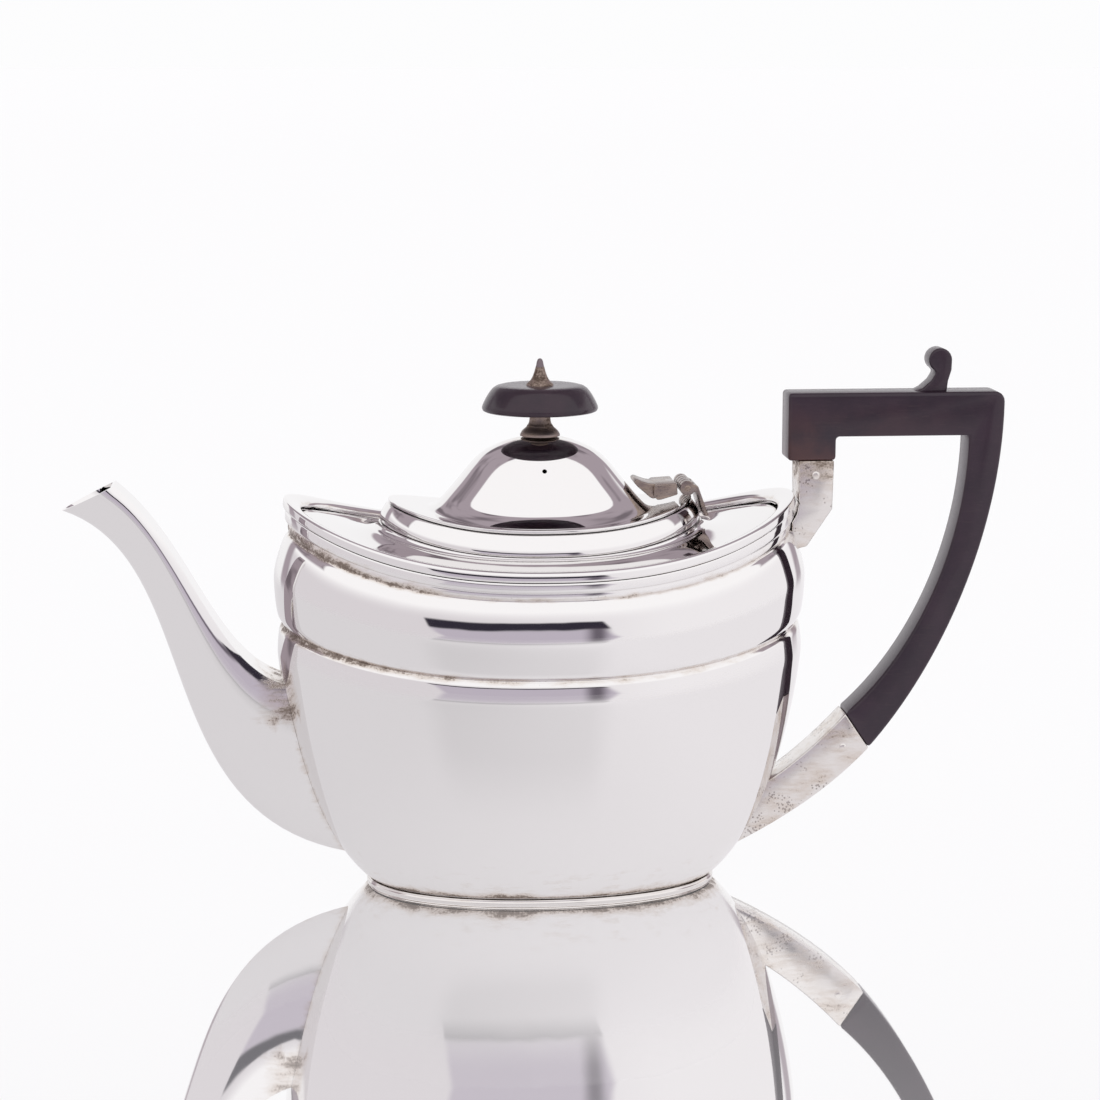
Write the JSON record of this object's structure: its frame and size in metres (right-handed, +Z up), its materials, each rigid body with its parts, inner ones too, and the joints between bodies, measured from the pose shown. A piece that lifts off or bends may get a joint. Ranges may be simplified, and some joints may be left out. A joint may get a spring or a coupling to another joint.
{
  "type": "silver teapot",
  "caption": "Boat-shaped oval teapot with a swept rim, hinged domed lid, curved spout and squared ebonised wood handle.",
  "frame": {"origin": "on the table, under the middle of the oval foot", "axes": "+X from the spout to the handle, +Y across the pot to its far side, +Z up"},
  "size_m": [0.2778, 0.1034, 0.1588],
  "materials": {
    "body_silver": "polished",
    "foot_silver": "polished",
    "rim_silver": "polished",
    "shoulder_silver": "polished",
    "collar_silver": "polished",
    "spout_silver": "polished",
    "socket_silver": "polished",
    "grip_wood": "satin",
    "pin_silver": "polished",
    "lid_silver": "polished",
    "bezel_silver": "polished",
    "hinge_silver": "polished",
    "ferrule_silver": "polished",
    "knob_wood": "satin",
    "finial_silver": "polished",
    "hidden_silver": "polished"
  },
  "bodies": {
    "pot": {"lower_body": "body_silver", "upper_body": "body_silver", "base_plate": "foot_silver", "foot_wire": "foot_silver", "rim_border": "rim_silver", "shoulder_plate": "shoulder_silver", "lid_collar": "collar_silver", "spout_near_half": "spout_silver", "spout_far_half": "spout_silver", "upper_socket": "socket_silver", "lower_socket": "socket_silver", "handle_grip": "grip_wood", "handle_pin_upper": "pin_silver", "handle_pin_lower": "pin_silver", "hinge_body_leaf": "hinge_silver", "hinge_pin": "pin_silver"},
    "lid": {"lid_shell": "lid_silver", "lid_bezel": "bezel_silver", "hinge_lid_leaf": "hinge_silver", "knob_ferrule": "ferrule_silver", "knob_disc": "knob_wood", "finial_screw": "finial_silver", "knob_washer": "hidden_silver", "knob_nut": "hidden_silver"}
  },
  "joints": [
    {"name": "lid_hinge", "type": "hinge", "parent": "pot", "child": "lid", "pos_m": [0.0429, 0, 0.11853], "axis": [0, 1, 0], "range_deg": [0, 85]}
  ]
}
